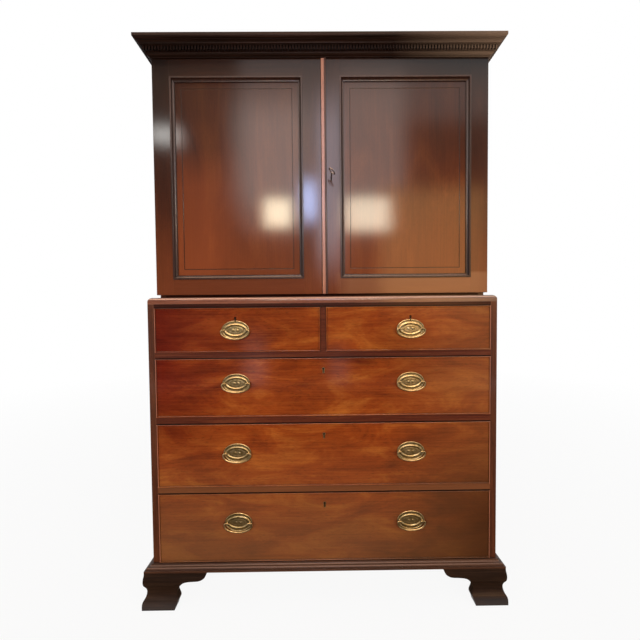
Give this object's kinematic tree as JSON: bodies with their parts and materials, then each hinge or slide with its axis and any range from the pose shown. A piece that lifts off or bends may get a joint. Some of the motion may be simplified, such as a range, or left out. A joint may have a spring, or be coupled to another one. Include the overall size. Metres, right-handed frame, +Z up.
{
  "type": "linen press",
  "caption": "Linen press: a panelled two-door cupboard with a dentil cornice and clothes trays, on a chest of graduated drawers with oval brass pulls and bracket feet.",
  "frame": {"origin": "on the floor, in the middle of the press's overall width and depth", "axes": "+X to the right of someone who faces the doors, +Y to the back, +Z up"},
  "size_m": [1.278, 0.589, 1.978],
  "materials": {
    "mahogany_case": "french polished, worn",
    "mahogany_faced_pine": "polished front edge",
    "pine_back": "unfinished, aged",
    "oak_inside": "unfinished, aged",
    "mahogany_moulding": "french polished",
    "mahogany_cornice": "dark french polish",
    "mahogany_feet": "dark, worn polish",
    "oak_tray": "waxed",
    "mahogany_door": "french polished",
    "mahogany_panel": "french polished, vertical figure",
    "mahogany_astragal": "french polished",
    "hinge_brass": "aged",
    "lock_steel": "aged",
    "lock_brass": "satin",
    "key_steel": "aged, handled",
    "mahogany_drawer": "french polished, figured",
    "oak_drawer": "unfinished, aged",
    "pull_brass": "pale, aged",
    "bail_brass": "pale, aged"
  },
  "bodies": {
    "carcass": {"lower_side_left": "mahogany_case", "lower_side_right": "mahogany_case", "lower_top": "mahogany_faced_pine", "lower_bottom": "mahogany_faced_pine", "lower_back": "pine_back", "drawer_rails_and_divider": "mahogany_faced_pine", "drawer_runners_and_stops": "oak_inside", "waist_moulding": "mahogany_moulding", "base_moulding": "mahogany_moulding", "foot_front_left": "mahogany_feet", "foot_front_right": "mahogany_feet", "feet_rear": "mahogany_feet", "upper_side_left": "mahogany_case", "upper_side_right": "mahogany_case", "upper_top": "mahogany_faced_pine", "upper_bottom": "mahogany_faced_pine", "upper_back": "pine_back", "tray_runners": "oak_inside", "clothes_tray_lowest": "oak_tray", "clothes_tray_second": "oak_tray", "clothes_tray_third": "oak_tray", "clothes_tray_highest": "oak_tray", "cornice_moulding": "mahogany_cornice", "cornice_dentils": "mahogany_cornice", "cupboard_hinge_leaves": "hinge_brass"},
    "door_left": {"door_left_frame": "mahogany_door", "door_left_panel": "mahogany_panel", "door_left_panel_moulding": "mahogany_moulding", "door_left_hinge_leaves": "hinge_brass"},
    "door_right": {"door_right_frame": "mahogany_door", "door_right_panel": "mahogany_panel", "door_right_panel_moulding": "mahogany_moulding", "door_right_hinge_leaves": "hinge_brass", "door_right_astragal": "mahogany_astragal", "door_lock_case": "lock_steel"},
    "lock_bolt": {"lock_bolt": "lock_brass"},
    "door_key": {"door_key": "key_steel"},
    "drawer_top_left": {"drawer_top_left_front": "mahogany_drawer", "drawer_top_left_box": "oak_drawer", "drawer_top_left_brasses": "pull_brass"},
    "bail_top_left": {"bail_top_left": "bail_brass"},
    "drawer_top_right": {"drawer_top_right_front": "mahogany_drawer", "drawer_top_right_box": "oak_drawer", "drawer_top_right_brasses": "pull_brass"},
    "bail_top_right": {"bail_top_right": "bail_brass"},
    "drawer_second": {"drawer_second_front": "mahogany_drawer", "drawer_second_box": "oak_drawer", "drawer_second_brasses": "pull_brass"},
    "bail_second_left": {"bail_second_left": "bail_brass"},
    "bail_second_right": {"bail_second_right": "bail_brass"},
    "drawer_third": {"drawer_third_front": "mahogany_drawer", "drawer_third_box": "oak_drawer", "drawer_third_brasses": "pull_brass"},
    "bail_third_left": {"bail_third_left": "bail_brass"},
    "bail_third_right": {"bail_third_right": "bail_brass"},
    "drawer_bottom": {"drawer_bottom_front": "mahogany_drawer", "drawer_bottom_box": "oak_drawer", "drawer_bottom_brasses": "pull_brass"},
    "bail_bottom_left": {"bail_bottom_left": "bail_brass"},
    "bail_bottom_right": {"bail_bottom_right": "bail_brass"}
  },
  "joints": [
    {"name": "door_left_hinge", "type": "hinge", "parent": "carcass", "child": "door_left", "pos_m": [-0.5935, -0.2079, 1.5105], "axis": [0, 0, -1], "range_deg": [0, 170]},
    {"name": "door_right_hinge", "type": "hinge", "parent": "carcass", "child": "door_right", "pos_m": [0.5935, -0.2079, 1.5105], "axis": [0, 0, 1], "range_deg": [0, 170]},
    {"name": "key_turn", "type": "hinge", "parent": "door_right", "child": "door_key", "pos_m": [0.0346, -0.2325, 1.5105], "axis": [0, 1, 0], "range_deg": [-35, 145]},
    {"name": "bolt_throw", "type": "slide", "parent": "door_right", "child": "lock_bolt", "axis": [-1, 0, 0], "range_m": [-0.0018, 0.0073]},
    {"name": "drawer_top_left_slide", "type": "slide", "parent": "carcass", "child": "drawer_top_left", "axis": [0, -1, 0], "range_m": [0, 0.4]},
    {"name": "bail_top_left_pivot", "type": "hinge", "parent": "drawer_top_left", "child": "bail_top_left", "pos_m": [-0.306, -0.2745, 0.971], "axis": [-1, 0, 0], "range_deg": [0, 165]},
    {"name": "drawer_top_right_slide", "type": "slide", "parent": "carcass", "child": "drawer_top_right", "axis": [0, -1, 0], "range_m": [0, 0.4]},
    {"name": "bail_top_right_pivot", "type": "hinge", "parent": "drawer_top_right", "child": "bail_top_right", "pos_m": [0.306, -0.2745, 0.971], "axis": [-1, 0, 0], "range_deg": [0, 165]},
    {"name": "drawer_second_slide", "type": "slide", "parent": "carcass", "child": "drawer_second", "axis": [0, -1, 0], "range_m": [0, 0.4]},
    {"name": "bail_second_left_pivot", "type": "hinge", "parent": "drawer_second", "child": "bail_second_left", "pos_m": [-0.306, -0.2745, 0.785], "axis": [-1, 0, 0], "range_deg": [0, 165]},
    {"name": "bail_second_right_pivot", "type": "hinge", "parent": "drawer_second", "child": "bail_second_right", "pos_m": [0.306, -0.2745, 0.785], "axis": [-1, 0, 0], "range_deg": [0, 165]},
    {"name": "drawer_third_slide", "type": "slide", "parent": "carcass", "child": "drawer_third", "axis": [0, -1, 0], "range_m": [0, 0.4]},
    {"name": "bail_third_left_pivot", "type": "hinge", "parent": "drawer_third", "child": "bail_third_left", "pos_m": [-0.306, -0.2745, 0.538], "axis": [-1, 0, 0], "range_deg": [0, 165]},
    {"name": "bail_third_right_pivot", "type": "hinge", "parent": "drawer_third", "child": "bail_third_right", "pos_m": [0.306, -0.2745, 0.538], "axis": [-1, 0, 0], "range_deg": [0, 165]},
    {"name": "drawer_bottom_slide", "type": "slide", "parent": "carcass", "child": "drawer_bottom", "axis": [0, -1, 0], "range_m": [0, 0.4]},
    {"name": "bail_bottom_left_pivot", "type": "hinge", "parent": "drawer_bottom", "child": "bail_bottom_left", "pos_m": [-0.306, -0.2745, 0.289], "axis": [-1, 0, 0], "range_deg": [0, 165]},
    {"name": "bail_bottom_right_pivot", "type": "hinge", "parent": "drawer_bottom", "child": "bail_bottom_right", "pos_m": [0.306, -0.2745, 0.289], "axis": [-1, 0, 0], "range_deg": [0, 165]}
  ],
  "couplings": [
    {"joint": "bolt_throw", "follows": "key_turn", "m_per_rad": 0.002865}
  ]
}
